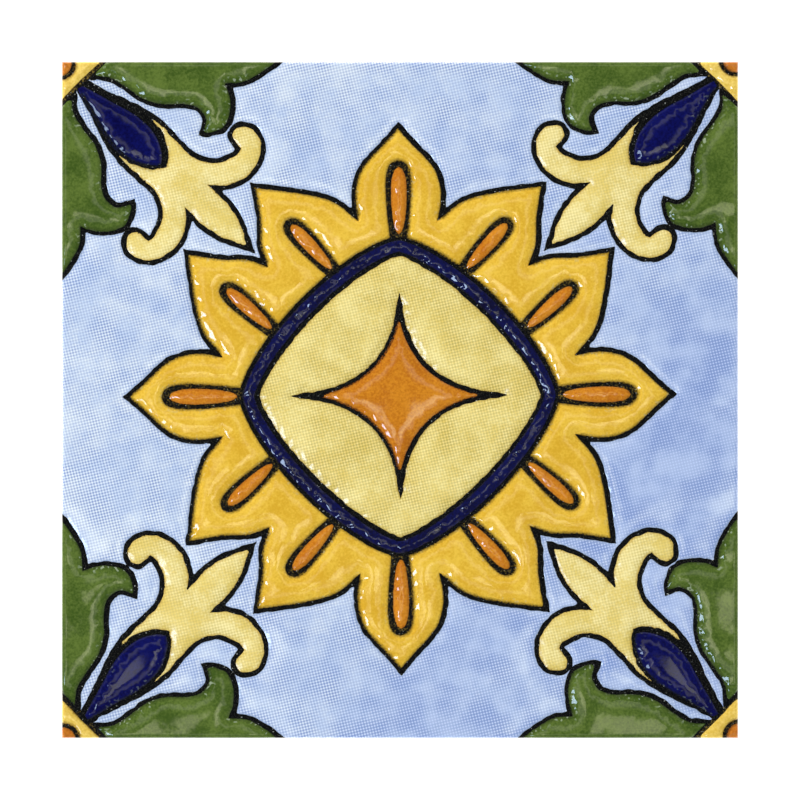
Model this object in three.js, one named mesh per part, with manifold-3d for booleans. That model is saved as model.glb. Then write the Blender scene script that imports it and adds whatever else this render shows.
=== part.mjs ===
// A square fired-clay wall tile with a star pattern in thick raised glaze.
// Millimetres. The origin is the middle of the back, +Z points out of the glazed face, +Y is the
// top of the pattern and +X its right side.

import * as THREE from 'three';
import { mergeVertices } from 'three/addons/utils/BufferGeometryUtils.js';
import Module from 'manifold-3d';

// The tile's body.
const TILE_SIDE = 150;
const BODY_THICKNESS = 8;
const FACE_ARRIS = 0.6;
const BACK_ARRIS = 0.8;

// The keying grooves in the back.
const GROOVE_COUNT = 6;
const GROOVE_PITCH = 20;
const GROOVE_WIDTH = 12;
const GROOVE_DEPTH = 0.8;
const GROOVE_END_MARGIN = 12;
const GROOVE_CHAMFER = 0.6;

// The raised glaze: its height over the face, the width of its rounded shoulder, and the black
// line that it leaves free between two fields of colour.
const GLAZE_HEIGHT = 0.8;
const SHOULDER_WIDTH = 0.5;
const SHOULDER_STEPS = 1;
const LINE_WIDTH = 1.2;

// The print sits a little high in the middle of the tile and is turned by a third of a degree.
const PRINT_RISE = 1.0;
const PRINT_TURN = 0.0058;

// The rounded diamond in the middle: a superellipse outside and a squarer one inside.
const RING_OUTER = 35.2;
const RING_OUTER_POWER = 1.39;
const RING_INNER = 31.7;
const RING_INNER_POWER = 1.31;
const RING_SIDES = 48;

// The four-pointed star inside the diamond: tip radius, and the curve handle that draws its waist.
const STAR_REACH = 22.3;
const STAR_HANDLE = [0.9, 8.5];

// The drops in the petals: where the tip of each lies, where its foot meets the ring, half width.
const STRAIGHT_DROP = { tip: [0, 52.3], foot: [0, 35.2], halfWidth: 2.3 };
const SLANTED_DROP = { tip: [24.6, 39], foot: [14.5, 27.8], halfWidth: 1.95 };

// Outlines run along the middle of the black lines. Each one is a list of smooth strokes, with a
// corner where two strokes meet.
// The flower's first eighth, from the top petal's tip to the notch on the diagonal.
const PETAL_STROKES = [
  [[0, 60.7], [2.7, 57.5], [7.9, 51.8], [9.7, 47.3], [9.9, 43.2], [9.3, 40]],
  [[9.3, 40], [14.2, 43.8], [21.6, 45.8], [32.3, 47.2]],
  [[32.3, 47.2], [31.1, 39.6], [30.9, 33.6], [29.5, 29.5]],
];

// The corner motifs are measured from the tile's corner: along one edge, then away from it.
const OUTSIDE = -2;
const LILY_STROKES = [
  [[3.6, 3.6], [6.1, 4.5], [10.8, 6.9], [17.7, 10.3], [22.6, 13.6], [26.4, 17.7], [30.1, 21.1],
    [34.5, 22.1], [38.4, 20.6], [39.5, 19.4]],
  [[39.5, 19.4], [37.7, 17], [38.3, 14.7], [40.6, 13.9], [43.4, 15], [45, 18.6], [44.2, 22.8],
    [41, 26.5], [36.6, 28.2], [33.8, 28.1]],
  [[33.8, 28.1], [37.3, 31.5], [40.1, 36], [42.1, 42.1]],
];
const BUD_STROKES = [
  [[4.2, 4.2], [6.7, 5.2], [11.4, 7.8], [17.8, 11.2], [21.8, 15.4], [23.4, 20], [23.1, 23.1]],
];
const LEAF_STROKES = [
  [[7, 3.2], [10.9, 3.5], [14.2, 5.4], [18.4, 8.3], [22.8, 9.6], [27.3, 9.6], [30.4, 10.4],
    [32.1, 12.9], [31.2, 16]],
  [[31.2, 16], [33.4, 16.1], [36.8, 14.6], [38.2, 11.3], [38.2, 7.6], [37.3, 4.9]],
  [[37.3, 4.9], [41.3, 4.5], [45.9, 1.9], [51, OUTSIDE]],
  [[51, OUTSIDE], [11.5, OUTSIDE]],
  [[11.5, OUTSIDE], [7, 3.2]],
];
const CAP_STROKES = [
  [[11.5, OUTSIDE], [4.5, 4.5], [OUTSIDE, 11.5]],
  [[OUTSIDE, 11.5], [OUTSIDE, OUTSIDE]],
  [[OUTSIDE, OUTSIDE], [11.5, OUTSIDE]],
];
const EYE_RADIUS = 2;
const EYE_LINE_RADIUS = 3.8;
const EYE_SIDES = 16;

// The longest side of a facet along a curved outline.
const OUTLINE_STEP = 2.2;

const wasm = await Module();
wasm.setup();

function solid(geometry) {
  const bare = geometry.clone();
  bare.deleteAttribute('normal');
  bare.deleteAttribute('uv');
  const merged = mergeVertices(bare);
  return new wasm.Manifold(new wasm.Mesh({
    numProp: 3,
    vertProperties: new Float32Array(merged.attributes.position.array),
    triVerts: new Uint32Array(merged.index.array),
  }));
}

// The points of a list of strokes, without the last point of each stroke.
function sampled(strokes) {
  const points = [];
  for (const stroke of strokes) {
    const curve = new THREE.SplineCurve(stroke.map(([x, y]) => new THREE.Vector2(x, y)));
    const straight = stroke.length === 2;
    const steps = straight ? 1 : Math.ceil(curve.getLength() / OUTLINE_STEP);
    points.push(...curve.getSpacedPoints(steps).slice(0, -1));
  }
  return points;
}

const swapped = (point) => new THREE.Vector2(point.y, point.x);

// A closed outline that is the same on both sides of the diagonal, from the half that starts and
// ends on it.
function mirroredOutline(strokes) {
  const half = sampled(strokes);
  const end = new THREE.Vector2(...strokes.at(-1).at(-1));
  return [...half, end, ...half.slice(1).map(swapped).reverse()];
}

// Moves every side of a closed outline inwards, and drops the sides that vanish on the way.
function inset(outline, distance) {
  const turn = THREE.ShapeUtils.area(outline) > 0 ? 1 : -1;
  let sides = outline.map((start, i) => {
    const along = outline[(i + 1) % outline.length].clone().sub(start).normalize();
    const inward = new THREE.Vector2(-along.y, along.x).multiplyScalar(turn * distance);
    return { point: start.clone().add(inward), along };
  });
  for (;;) {
    const corners = sides.map((side, i) => meeting(sides.at(i - 1), side));
    const lengths = sides.map((side, i) => corners[(i + 1) % corners.length].clone()
      .sub(corners[i]).dot(side.along));
    const shortest = lengths.indexOf(Math.min(...lengths));
    if (lengths[shortest] > 0) return corners;
    sides = sides.filter((side, i) => i !== shortest);
  }
}

// The point where two lines cross, or the second one's own point where they are nearly parallel.
function meeting(first, second) {
  const cross = first.along.cross(second.along);
  if (Math.abs(cross) < 1e-3) return second.point.clone();
  const travel = second.point.clone().sub(first.point).cross(second.along) / cross;
  return first.along.clone().multiplyScalar(travel).add(first.point);
}

// Where a point of the ideal pattern lands on the tile.
function printed(point) {
  const rise = PRINT_RISE * Math.cos(Math.PI * point.y / TILE_SIDE);
  return new THREE.Vector2(
    point.x - PRINT_TURN * point.y,
    point.y + PRINT_TURN * point.x + rise,
  );
}

// How deep a field of glaze reaches into the body, so that its lower shoulder is buried.
const EMBEDDED = 2 * SHOULDER_WIDTH;

// A field of raised glaze with sloping shoulders. Its outline is the middle of the black line.
function glazePad(outline, margin = LINE_WIDTH / 2) {
  const top = inset(outline, margin + SHOULDER_WIDTH).map(printed);
  const geometry = new THREE.ExtrudeGeometry(new THREE.Shape(top), {
    depth: GLAZE_HEIGHT + EMBEDDED - 2 * SHOULDER_WIDTH,
    bevelThickness: SHOULDER_WIDTH,
    bevelSize: SHOULDER_WIDTH,
    bevelSegments: SHOULDER_STEPS,
    steps: 1,
  });
  geometry.translate(0, 0, BODY_THICKNESS - EMBEDDED + SHOULDER_WIDTH);
  return solid(geometry);
}

// A straight-sided cutter that leaves a black line around a field that lies inside another.
function moat(outline) {
  const geometry = new THREE.ExtrudeGeometry(
    new THREE.Shape(inset(outline, -LINE_WIDTH / 2).map(printed)),
    { depth: 2 * GLAZE_HEIGHT, bevelEnabled: false },
  );
  geometry.translate(0, 0, BODY_THICKNESS);
  return solid(geometry);
}

function superellipse(reach, power) {
  return Array.from({ length: RING_SIDES }, (_, i) => {
    const angle = 2 * Math.PI * i / RING_SIDES;
    const [c, s] = [Math.cos(angle), Math.sin(angle)];
    const radius = reach / (Math.abs(c) ** power + Math.abs(s) ** power) ** (1 / power);
    return new THREE.Vector2(radius * c, radius * s);
  });
}

function star() {
  const [across, along] = STAR_HANDLE;
  const curve = new THREE.CubicBezierCurve(
    new THREE.Vector2(0, STAR_REACH),
    new THREE.Vector2(across, along),
    new THREE.Vector2(along, across),
    new THREE.Vector2(STAR_REACH, 0),
  );
  const quarter = curve.getSpacedPoints(Math.ceil(STAR_REACH / OUTLINE_STEP)).slice(0, -1);
  return [0, 1, 2, 3].flatMap((turn) => quarter.map((point) => quarterTurned(point, turn)));
}

// Clockwise quarter turns about the middle of the tile.
function quarterTurned(point, turn) {
  return point.clone().rotateAround(new THREE.Vector2(), -turn * Math.PI / 2);
}

function flower() {
  const eighth = sampled(PETAL_STROKES);
  const notch = new THREE.Vector2(...PETAL_STROKES.at(-1).at(-1));
  const quarter = [...eighth, notch, ...eighth.slice(1).map(swapped).reverse()];
  return [0, 1, 2, 3].flatMap((turn) => quarter.map((point) => quarterTurned(point, turn)));
}

// A drop's outline: a round head that narrows to its foot.
function drop({ tip, foot, halfWidth }) {
  const head = new THREE.Vector2(...tip);
  const base = new THREE.Vector2(...foot);
  const length = head.distanceTo(base);
  const side = [[0, 1], [0.6, 0.96], [0.93, 0.84], [1, 0.62], [0.85, 0.3], [0.6, 0]]
    .map(([across, up]) => [across * halfWidth, up * length]);
  const right = sampled([side]);
  const left = right.slice(1).map((point) => new THREE.Vector2(-point.x, point.y)).reverse();
  const ends = [new THREE.Vector2(...side.at(-1)), new THREE.Vector2(-side.at(-1)[0], 0)];
  const lean = head.clone().sub(base).angle() - Math.PI / 2;
  return [...right, ...ends, ...left]
    .map((point) => point.rotateAround(new THREE.Vector2(), lean).add(base));
}

function drops() {
  const slanted = drop(SLANTED_DROP);
  const group = [drop(STRAIGHT_DROP), slanted, slanted.map(swapped)];
  return [0, 1, 2, 3].flatMap((turn) => group.map(
    (outline) => outline.map((point) => quarterTurned(point, turn)),
  ));
}

// An outline that was measured from the corner, set at each of the four corners.
function atCorners(outline) {
  const placed = outline.map((point) => new THREE.Vector2(
    TILE_SIDE / 2 - point.x,
    TILE_SIDE / 2 - point.y,
  ));
  return [0, 1, 2, 3].map((turn) => placed.map((point) => quarterTurned(point, turn)));
}

function circle(radius) {
  return Array.from({ length: EYE_SIDES }, (_, i) => new THREE.Vector2(radius, 0)
    .rotateAround(new THREE.Vector2(), 2 * Math.PI * i / EYE_SIDES));
}

const joined = (pads) => pads.reduce((all, pad) => all.add(pad));

// A square block whose upper and lower edges are chamfered.
function block(side, bottom, top, chamfer) {
  const half = side / 2 - chamfer;
  const shape = new THREE.Shape([[-half, -half], [half, -half], [half, half], [-half, half]]
    .map(([x, y]) => new THREE.Vector2(x, y)));
  const geometry = new THREE.ExtrudeGeometry(shape, {
    depth: top - bottom - 2 * chamfer,
    bevelThickness: chamfer,
    bevelSize: chamfer,
    bevelSegments: 1,
    steps: 1,
  });
  geometry.translate(0, 0, bottom + chamfer);
  return solid(geometry);
}

// The clay body: a chamfered slab with straight keying grooves in its back.
function body() {
  const upper = block(TILE_SIDE, -BODY_THICKNESS, BODY_THICKNESS, FACE_ARRIS);
  const lower = block(TILE_SIDE, 0, 2 * BODY_THICKNESS, BACK_ARRIS);
  const slab = upper.intersect(lower);
  const grooveLength = TILE_SIDE - 2 * GROOVE_END_MARGIN;
  const profile = new THREE.Shape([
    new THREE.Vector2(-GROOVE_WIDTH / 2, -GROOVE_DEPTH),
    new THREE.Vector2(GROOVE_WIDTH / 2, -GROOVE_DEPTH),
    new THREE.Vector2(GROOVE_WIDTH / 2, 0),
    new THREE.Vector2(GROOVE_WIDTH / 2 - GROOVE_CHAMFER, GROOVE_DEPTH),
    new THREE.Vector2(-GROOVE_WIDTH / 2 + GROOVE_CHAMFER, GROOVE_DEPTH),
    new THREE.Vector2(-GROOVE_WIDTH / 2, 0),
  ]);
  const grooves = Array.from({ length: GROOVE_COUNT }, (_, i) => {
    const geometry = new THREE.ExtrudeGeometry(profile, { depth: grooveLength, bevelEnabled: false });
    geometry.rotateX(Math.PI / 2);
    geometry.translate((i - (GROOVE_COUNT - 1) / 2) * GROOVE_PITCH, grooveLength / 2, 0);
    return solid(geometry);
  });
  return slab.subtract(joined(grooves));
}

// All the raised glaze, cut off just inside the edges of the face.
function glaze() {
  const petals = glazePad(flower())
    .subtract(joined([moat(superellipse(RING_OUTER, RING_OUTER_POWER)), ...drops().map(moat)]));
  const ring = glazePad(superellipse(RING_OUTER, RING_OUTER_POWER))
    .subtract(moat(superellipse(RING_INNER, RING_INNER_POWER)));
  const buds = atCorners(mirroredOutline(BUD_STROKES));
  const lilies = joined(atCorners(mirroredOutline(LILY_STROKES)).map((field) => glazePad(field)))
    .subtract(joined(buds.map(moat)));
  const leaf = sampled(LEAF_STROKES);
  const leaves = [...atCorners(leaf), ...atCorners(leaf.map(swapped))];
  const caps = joined(atCorners(sampled(CAP_STROKES)).map((field) => glazePad(field)))
    .subtract(joined(atCorners(circle(EYE_LINE_RADIUS - LINE_WIDTH / 2)).map(moat)));
  const eyes = atCorners(circle(EYE_RADIUS)).map((field) => glazePad(field, 0));
  const small = [star(), ...drops(), ...buds, ...leaves].map((field) => glazePad(field));
  const whole = joined([petals, ring, lilies, caps, ...eyes, ...small]);
  const envelope = block(TILE_SIDE - FACE_ARRIS, 0, BODY_THICKNESS + GLAZE_HEIGHT, GLAZE_HEIGHT);
  return whole.intersect(envelope);
}

function mesh(name, shape, material) {
  const { vertProperties, triVerts } = shape.getMesh();
  const geometry = new THREE.BufferGeometry();
  geometry.setAttribute('position', new THREE.BufferAttribute(vertProperties, 3));
  geometry.setIndex(new THREE.BufferAttribute(triVerts, 1));
  geometry.computeVertexNormals();
  const result = new THREE.Mesh(geometry, material);
  result.name = name;
  return result;
}

const glazedClay = new THREE.MeshStandardMaterial({
  color: 0xdcb13c,
  roughness: 0.18,
  metalness: 0,
});

const tile = new THREE.Group();
tile.add(mesh('tile', body().add(glaze()), glazedClay));

export default tile;
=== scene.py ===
"""A square glazed wall tile with a star pattern. It lies face up on a pale floor.

Black contour lines are drawn on the clay first, and each colour of glaze is a pool that the
lines hold back. Sizes are millimetres until a mesh is made, which is in metres.
"""

import math

import bpy
import numpy as np
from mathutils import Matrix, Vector, kdtree
from mathutils.geometry import delaunay_2d_cdt

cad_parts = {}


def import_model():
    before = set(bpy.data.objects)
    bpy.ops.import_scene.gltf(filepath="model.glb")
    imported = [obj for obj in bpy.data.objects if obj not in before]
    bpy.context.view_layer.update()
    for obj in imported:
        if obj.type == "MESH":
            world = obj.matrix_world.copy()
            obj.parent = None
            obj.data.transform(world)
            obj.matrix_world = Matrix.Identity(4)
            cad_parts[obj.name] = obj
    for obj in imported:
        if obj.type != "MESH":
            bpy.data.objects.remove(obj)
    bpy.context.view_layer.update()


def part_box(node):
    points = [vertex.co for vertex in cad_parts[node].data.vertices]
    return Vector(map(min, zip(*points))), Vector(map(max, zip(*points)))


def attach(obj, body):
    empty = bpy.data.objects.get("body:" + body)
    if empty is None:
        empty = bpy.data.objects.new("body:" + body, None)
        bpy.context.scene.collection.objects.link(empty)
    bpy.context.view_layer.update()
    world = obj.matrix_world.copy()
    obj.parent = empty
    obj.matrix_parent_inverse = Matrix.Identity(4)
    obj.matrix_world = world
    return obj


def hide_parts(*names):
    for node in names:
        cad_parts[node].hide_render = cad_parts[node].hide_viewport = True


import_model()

MM = 0.001

# The tile's own size, from the frame.
lowest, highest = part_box("tile")
SIDE = (highest[0] - lowest[0]) / MM
HALF = SIDE / 2
TOP = highest[2] / MM

# Levels over the back, from the clay up to the top of the thickest glaze.
GLAZE_RISE = 0.8
FACE = TOP - GLAZE_RISE
CLAY_FACE = FACE - 0.4
POOL_BOTTOM = FACE - 0.8
LINE_FOOT = FACE - 0.3
LINE_TOP = FACE - 0.16
POOL_FOOT = FACE - 0.26
BLUE_TOP = FACE + 0.06
CREAM_TOP = FACE + 0.3
LILY_TOP = FACE + 0.42
RAISED_TOP = TOP - 0.08

# How far a pool's rounded shoulder reaches in from the line that holds it.
RAISED_REACH = 1.05
CREAM_REACH = 1.7
BLUE_REACH = 1.3
LINE_REACH = 0.3
BUD_REACH = 0.72

# The black lines: their half width, and how far they go on under the glaze beside them.
LINE_HALF = 0.6
LINE_HIDDEN = 0.2
LINE_WIDE = LINE_HALF + LINE_HIDDEN
BUD_LINE_INNER = 1.6

# Raised glaze starts this far in from a line's middle and is printed a little to the left. Glaze
# of the grounds starts further in. The sides of a loop are signs of such a distance.
OVERLAP = 0.3
SHIFT = np.array([-0.25, -0.05])
FLUSH = 0.42
WITHIN, AROUND = 1, -1

# The shift of the buds' glaze at the upper right, lower right, lower left and upper left.
BUD_SHIFTS = np.array([(0.3, -0.3), (-0.4, -0.35), (0.1, -0.2), (-0.6, -0.45)])

# The glaze is rounded off at the tile's edges and runs down over them, unevenly. The clay body
# stands back there. Under the edge the glaze turns in to a level bottom.
EDGE_ROUND = 0.7
EDGE_RUN = 0.7
EDGE_RUN_VARIES = 0.35
RUN_WAVES = (4, 15)
BODY_SETBACK = 0.25
RIM_DROP = 0.1
RIM_INSET = 0.3

# The clay body's rounded edges, and the keying grooves in its back.
BODY_BEVEL = 0.7
BEVEL_SEGMENTS = 3
GROOVE_COUNT = 6
GROOVE_PITCH = 20
GROOVE_WIDTH = 12
GROOVE_DEPTH = 0.8
GROOVE_END_MARGIN = 12
GROOVE_BEVEL = 0.5

# The angles in degrees past which an edge stays sharp to the eye.
CLAY_CREASE = 30
GLAZE_CREASE = 38

# The print sits a little high in the middle of the tile and is turned by a third of a degree.
PRINT_RISE = 1.0
PRINT_TURN = 0.0058

# The pattern: the rounded diamond, the star in it and the drops in the petals.
RING_OUTER, RING_OUTER_POWER = 35.2, 1.39
RING_INNER, RING_INNER_POWER = 31.7, 1.31
STAR_TIPS, STAR_HANDLE = (21.4, 22.3, 21.5, 22.6), (0.9, 8.5)
STRAIGHT_DROP = {"tip": (0, 52.3), "foot": (0, 35.2), "half_width": 2.3}
SLANTED_DROP = {"tip": (24.6, 39), "foot": (14.5, 27.8), "half_width": 1.95}
DROP_SIDE = [(0, 1), (0.6, 0.96), (0.93, 0.84), (1, 0.62), (0.85, 0.3), (0.6, 0)]
# The orange in a drop is a pointed lens, as shares of the drop's half width and length.
LENS_SIDE = [
    (0, 0.945), (0.44, 0.9), (0.74, 0.77), (0.82, 0.58), (0.72, 0.34), (0.48, 0.14), (0.14, 0.05),
]

# Outlines run along the middle of the black lines, as smooth strokes that meet in corners.
# The flower's first eighth, from the top petal's tip to the notch on the diagonal.
PETAL_STROKES = [
    [(0, 60.7), (2.7, 57.5), (7.9, 51.8), (9.7, 47.3), (9.9, 43.2), (9.3, 40)],
    [(9.3, 40), (14.2, 43.8), (21.6, 45.8), (32.3, 47.2)],
    [(32.3, 47.2), (31.1, 39.6), (30.9, 33.6), (29.5, 29.5)],
]

# The corner motifs are measured from the tile's corner: along one edge, then away from it.
OUTSIDE = -2
LILY_STROKES = [
    [(3.6, 3.6), (6.1, 4.5), (10.8, 6.9), (17.7, 10.3), (22.6, 13.6), (26.4, 17.7), (30.1, 21.1),
     (34.5, 22.1), (38.4, 20.6), (39.5, 19.4)],
    [(39.5, 19.4), (37.7, 17), (38.3, 14.7), (40.6, 13.9), (43.4, 15), (45, 18.6), (44.2, 22.8),
     (41, 26.5), (36.6, 28.2), (33.8, 28.1)],
    [(33.8, 28.1), (37.3, 31.5), (40.1, 36), (42.1, 42.1)],
]
BUD_STROKES = [
    [(5.1, 3.9), (7.2, 5.0), (11.5, 7.5), (17.8, 11.2), (21.8, 15.4), (23.4, 20), (23.1, 23.1)],
]
LEAF_STROKES = [
    [(6.6, 3.1), (10.9, 3.5), (14.2, 5.4), (18.4, 8.3), (22.8, 9.6), (27.3, 9.6), (30.4, 10.4),
     (32.1, 12.9), (31.2, 16)],
    [(31.2, 16), (33.4, 16.1), (36.8, 14.6), (38.2, 11.3), (38.2, 7.6), (37.3, 4.9)],
    [(37.3, 4.9), (41.3, 4.5), (45.9, 1.9), (51, OUTSIDE)],
    [(51, OUTSIDE), (11.5, OUTSIDE)],
    [(11.5, OUTSIDE), (6.6, 3.1)],
]
CAP_STROKES = [
    [(11.5, OUTSIDE), (4.5, 4.5), (OUTSIDE, 11.5)],
    [(OUTSIDE, 11.5), (OUTSIDE, OUTSIDE)],
    [(OUTSIDE, OUTSIDE), (11.5, OUTSIDE)],
]
EYE_LINE_RADIUS = 3.2

# Three of the caps cover their lines with glaze: how far the lines seem, and up to what distance.
CAP_COVER, CAP_COVER_REACH = 1.5, 1.3

# How finely outlines and fields are divided. Points nearer to a line than their row, less a
# share, are left out, and points that have merged count as one.
OUTLINE_STEP = 0.4
CURVE_STEPS = 40
ROWS = (0.09, 0.2, 0.34, 0.52, 0.75, 1.03, 1.38, 1.8)
EDGE_ROWS = (0.03, 0.1, 0.2, 0.33, 0.5, 0.7, 1.1)
EDGE_STEP = 0.6
EDGE_ALLOWANCE = 10
FIELD_STEP = 1.2
CROWDED = 0.85
KEPT_DISTANCE = 0.98
SHARPEST = 3.2
MERGED = 1e-4
ON_EDGE = 0.01
UNPINNED_EDGE = 0.001
BAND_SIZE = 400

# When the liquid's surface counts as settled.
MOST_ROUNDS = 600
SETTLED = 1e-7
TINY = 1e-9

# The waves of the glaze: how long the shortest and the longest of each kind are, and where the
# dimples and the beads lie beside a line.
WAVE_SEED = 7
WAVE_COUNT = 28
BROAD_WAVES = (7, 22)
EDGE_WAVES = (1.5, 4.0)
DIMPLE_WAVES = (2.6, 5.5)
DIMPLE_REACH = 1.15
BEAD_WAVES = (1.7, 3.0)
BEAD_PLACE = 0.95
BEAD_SPREAD = 0.6
BEAD_START = 0.4

# The surface of each kind of piece: its level at the lines and in the middle, the reach of its
# shoulder, and the heights of its broad waves, of the grain of its foot, of its dimples and of
# its beads.
BLUE_SURFACE = {
    "foot": POOL_FOOT, "top": BLUE_TOP, "reach": BLUE_REACH,
    "broad": 0.03, "grain": 0.03, "dimple": 0.05, "bead": 0.01,
}
CREAM_SURFACE = {
    "foot": POOL_FOOT, "top": CREAM_TOP, "reach": CREAM_REACH,
    "broad": 0.04, "grain": 0.05, "dimple": 0.16, "bead": 0.035,
}
LILY_SURFACE = {**CREAM_SURFACE, "top": LILY_TOP, "dimple": 0.14, "bead": 0.02}
RAISED_SURFACE = {
    "foot": POOL_FOOT, "top": RAISED_TOP, "reach": RAISED_REACH,
    "broad": 0.05, "grain": 0.07, "dimple": 0.18, "bead": 0.045,
}
BAND_SURFACE = {**RAISED_SURFACE, "dimple": 0.24, "bead": 0.08}
BUD_SURFACE = {
    **RAISED_SURFACE, "reach": BUD_REACH,
    "broad": 0.012, "grain": 0.03, "dimple": 0.03, "bead": 0.05,
}
LINE_SURFACE = {
    "foot": LINE_FOOT, "top": LINE_TOP, "reach": LINE_REACH, "broad": 0.01, "grain": 0.02,
}

# The print's mesh: its pitch, its turn on the tile in degrees, and the heights between which it
# fades out over the tile's rounded edges.
MESH_PITCH = 0.637
MESH_TURN = 14
PRINT_ENDS = (FACE - 0.75, FACE - 0.4)
MESH_FADE_LENGTH = 6
MESH_SHADE = 0.3

# The blue turns deeper towards the tile's lower right, over this way and distance, in clouds.
DRIFT_TURN = -32
DRIFT_DISTANCE = 75
CLOUD_LENGTH = 40

# The black lines: the lengths of their grain, of the stain that ran into them and of the pale
# specks painted on them as glints, and the height of their grain.
BLACK_GRAIN_LENGTH = 0.3
STAIN_LENGTH = 0.42
GLINT_SPECK_LENGTH = 0.36
GRAIN_LENGTH = 0.34
GRAIN_HEIGHT = 0.09
LINE_SHINE = 0.1

# The glazes: the lengths of their patches, their grain, the jagged edge that they have on a
# line, their gloss, and the painted glints of their bubbles.
PATCH_LENGTH = 5.5
SPRINKLE_LENGTH = 0.5
JAG_LENGTH = 0.42
JAG_WIDTH = 0.62
MESH_JAG = 0.16
GLOSS_LENGTH = 3
GLOSS_VARIES = 0.04
# The glints of bubbles are painted as pale dots: their size, the size of their groups and their
# band.
BUBBLE_GLINT_LENGTH = 0.72
GLINT_GROUP_LENGTH = 7
GLINT_BAND = (1.0, 2.1)
GLAZE_IOR = 1.62

# Where a glaze gives way to black beside a line, and at its own border.
LINE_EDGE = (-0.08, 0.1)
BORDER_EDGE = (0.06, 0.2)

# The fine relief of the glazes: the peel all over, and ripples near the lines.
PEEL_LENGTH = 2.2
PEEL_HEIGHT = 0.012
RIPPLE_LENGTH = 0.9
RIPPLE_BAND = (0.8, 2.6)

# The camera: the photograph's width on the tile's face, and a long lens.
FRAME_WIDTH = 177.5
CAMERA_LENS = 400
CAMERA_SENSOR = 36

# Daylight, the warm light of lamps, and the softer light of the room's sides.
SKY = (0.57, 0.74, 1)
WARM = (1, 0.98, 0.64)
SUNNY = (1, 0.97, 0.91)
SHADY = (0.93, 0.98, 1)

# The lights: the way they come from in degrees round the tile and down from the zenith, how far
# off they are, their width and height, all in metres, their radiance and their colour. The glaze
# mirrors the first three.
LIGHTS = {
    "window": (205, 29, 2.2, (0.42, 0.6), 15, SKY, True),
    "veil_right": (-43, 7.1, 2.2, (0.22, 0.22), 2.6, WARM, True),
    "veil_left": (223, 7.1, 2.2, (0.22, 0.22), 2.6, WARM, True),
    "left_box": (180, 70, 1.1, (1.1, 0.45), 6.0, SUNNY, False),
    "top_box": (90, 70, 1.1, (1.1, 0.45), 5.4, SUNNY, False),
    "right_box": (0, 72, 2.2, (2.2, 0.9), 3.4, SHADY, False),
    "low_box": (270, 72, 2.2, (2.2, 0.9), 3.6, SHADY, False),
}

# The room overhead, as heights on a unit sphere and how bright it is there: dark behind the
# camera, a thin bright ring around that, and brighter again towards the horizon.
ROOM = (
    (0.0, 0.9), (0.18, 0.6), (0.5, 0.16), (0.94, 0.14), (0.963, 0.2), (0.973, 1.2),
    (0.988, 1.2), (0.994, 0.1), (1.0, 0.1),
)
ROOM_COLOUR = (1, 0.98, 0.78, 1)

# The floor's side, in metres, and its glow.
FLOOR_SIDE = 8
FLOOR_GLOW = 0.5


def evenly(line, step):
    """Points an even step apart along a line, its two ends included."""
    steps = np.linalg.norm(np.diff(line, axis=0), axis=1)
    lengths = np.concatenate([[0], np.cumsum(steps)])
    count = max(1, round(lengths[-1] / step))
    places = np.linspace(0, lengths[-1], count + 1)
    return np.stack([np.interp(places, lengths, line[:, axis]) for axis in (0, 1)], 1)


def stroke(knots):
    """A smooth line through the knots, without its last point."""
    knots = np.array(knots, float)
    last = len(knots) - 1
    t = np.linspace(0, 1, CURVE_STEPS, endpoint=False)[:, None]
    parts = []
    for i in range(last):
        before, start, end, after = knots[[max(i - 1, 0), i, i + 1, min(i + 2, last)]]
        leave, arrive = (end - before) / 2, (after - start) / 2
        cubic = 2 * start - 2 * end + leave + arrive
        square = 3 * end - 3 * start - 2 * leave - arrive
        parts.append(cubic * t ** 3 + square * t ** 2 + leave * t + start)
    return evenly(np.concatenate([*parts, knots[-1:]]), OUTLINE_STEP)[:-1]


def outline(strokes):
    return np.concatenate([stroke(knots) for knots in strokes])


def swapped(points):
    return np.asarray(points)[:, ::-1]


def mirrored_outline(strokes):
    """A closed outline, from its half that starts and ends on the diagonal."""
    half = outline(strokes)
    end = np.array([strokes[-1][-1]], float)
    return np.concatenate([half, end, swapped(half[1:])[::-1]])


def turned(points, angle):
    c, s = math.cos(angle), math.sin(angle)
    return points @ np.array([[c, s], [-s, c]])


def four_turns(points):
    return [turned(points, -quarter * math.pi / 2) for quarter in range(4)]


def at_corners(points):
    return four_turns(HALF - points)


def flower():
    """The outline of all the petals, from its first eighth."""
    eighth = outline(PETAL_STROKES)
    notch = np.array([PETAL_STROKES[-1][-1]], float)
    quarter = np.concatenate([eighth, notch, swapped(eighth[1:])[::-1]])
    return np.concatenate(four_turns(quarter))


def directions(radius):
    """Unit vectors all round, as many as points on a circle of a radius."""
    count = round(2 * math.pi * radius / OUTLINE_STEP)
    angle = np.arange(count) * 2 * math.pi / count
    return np.stack([np.cos(angle), np.sin(angle)], 1)


def circle(radius):
    return radius * directions(radius)


def superellipse(reach, power):
    """The rounded diamond, by how far its corners reach and how full its sides are."""
    unit = directions(reach)
    radius = reach / (np.abs(unit) ** power).sum(1) ** (1 / power)
    return radius[:, None] * unit


def star():
    """Four curves between the tips, which lie at slightly different distances."""
    t = np.linspace(0, 1, 3 * CURVE_STEPS)[:, None]
    handle = np.array(STAR_HANDLE)
    sides = []
    for quarter, reach in enumerate(STAR_TIPS):
        first, last = np.array([0, reach]), np.array([STAR_TIPS[(quarter + 1) % 4], 0])
        curve = ((1 - t) ** 3 * first + 3 * (1 - t) ** 2 * t * handle
                 + 3 * (1 - t) * t ** 2 * handle[::-1] + t ** 3 * last)
        sides.append(turned(evenly(curve, OUTLINE_STEP)[:-1], -quarter * math.pi / 2))
    return np.concatenate(sides)


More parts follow.
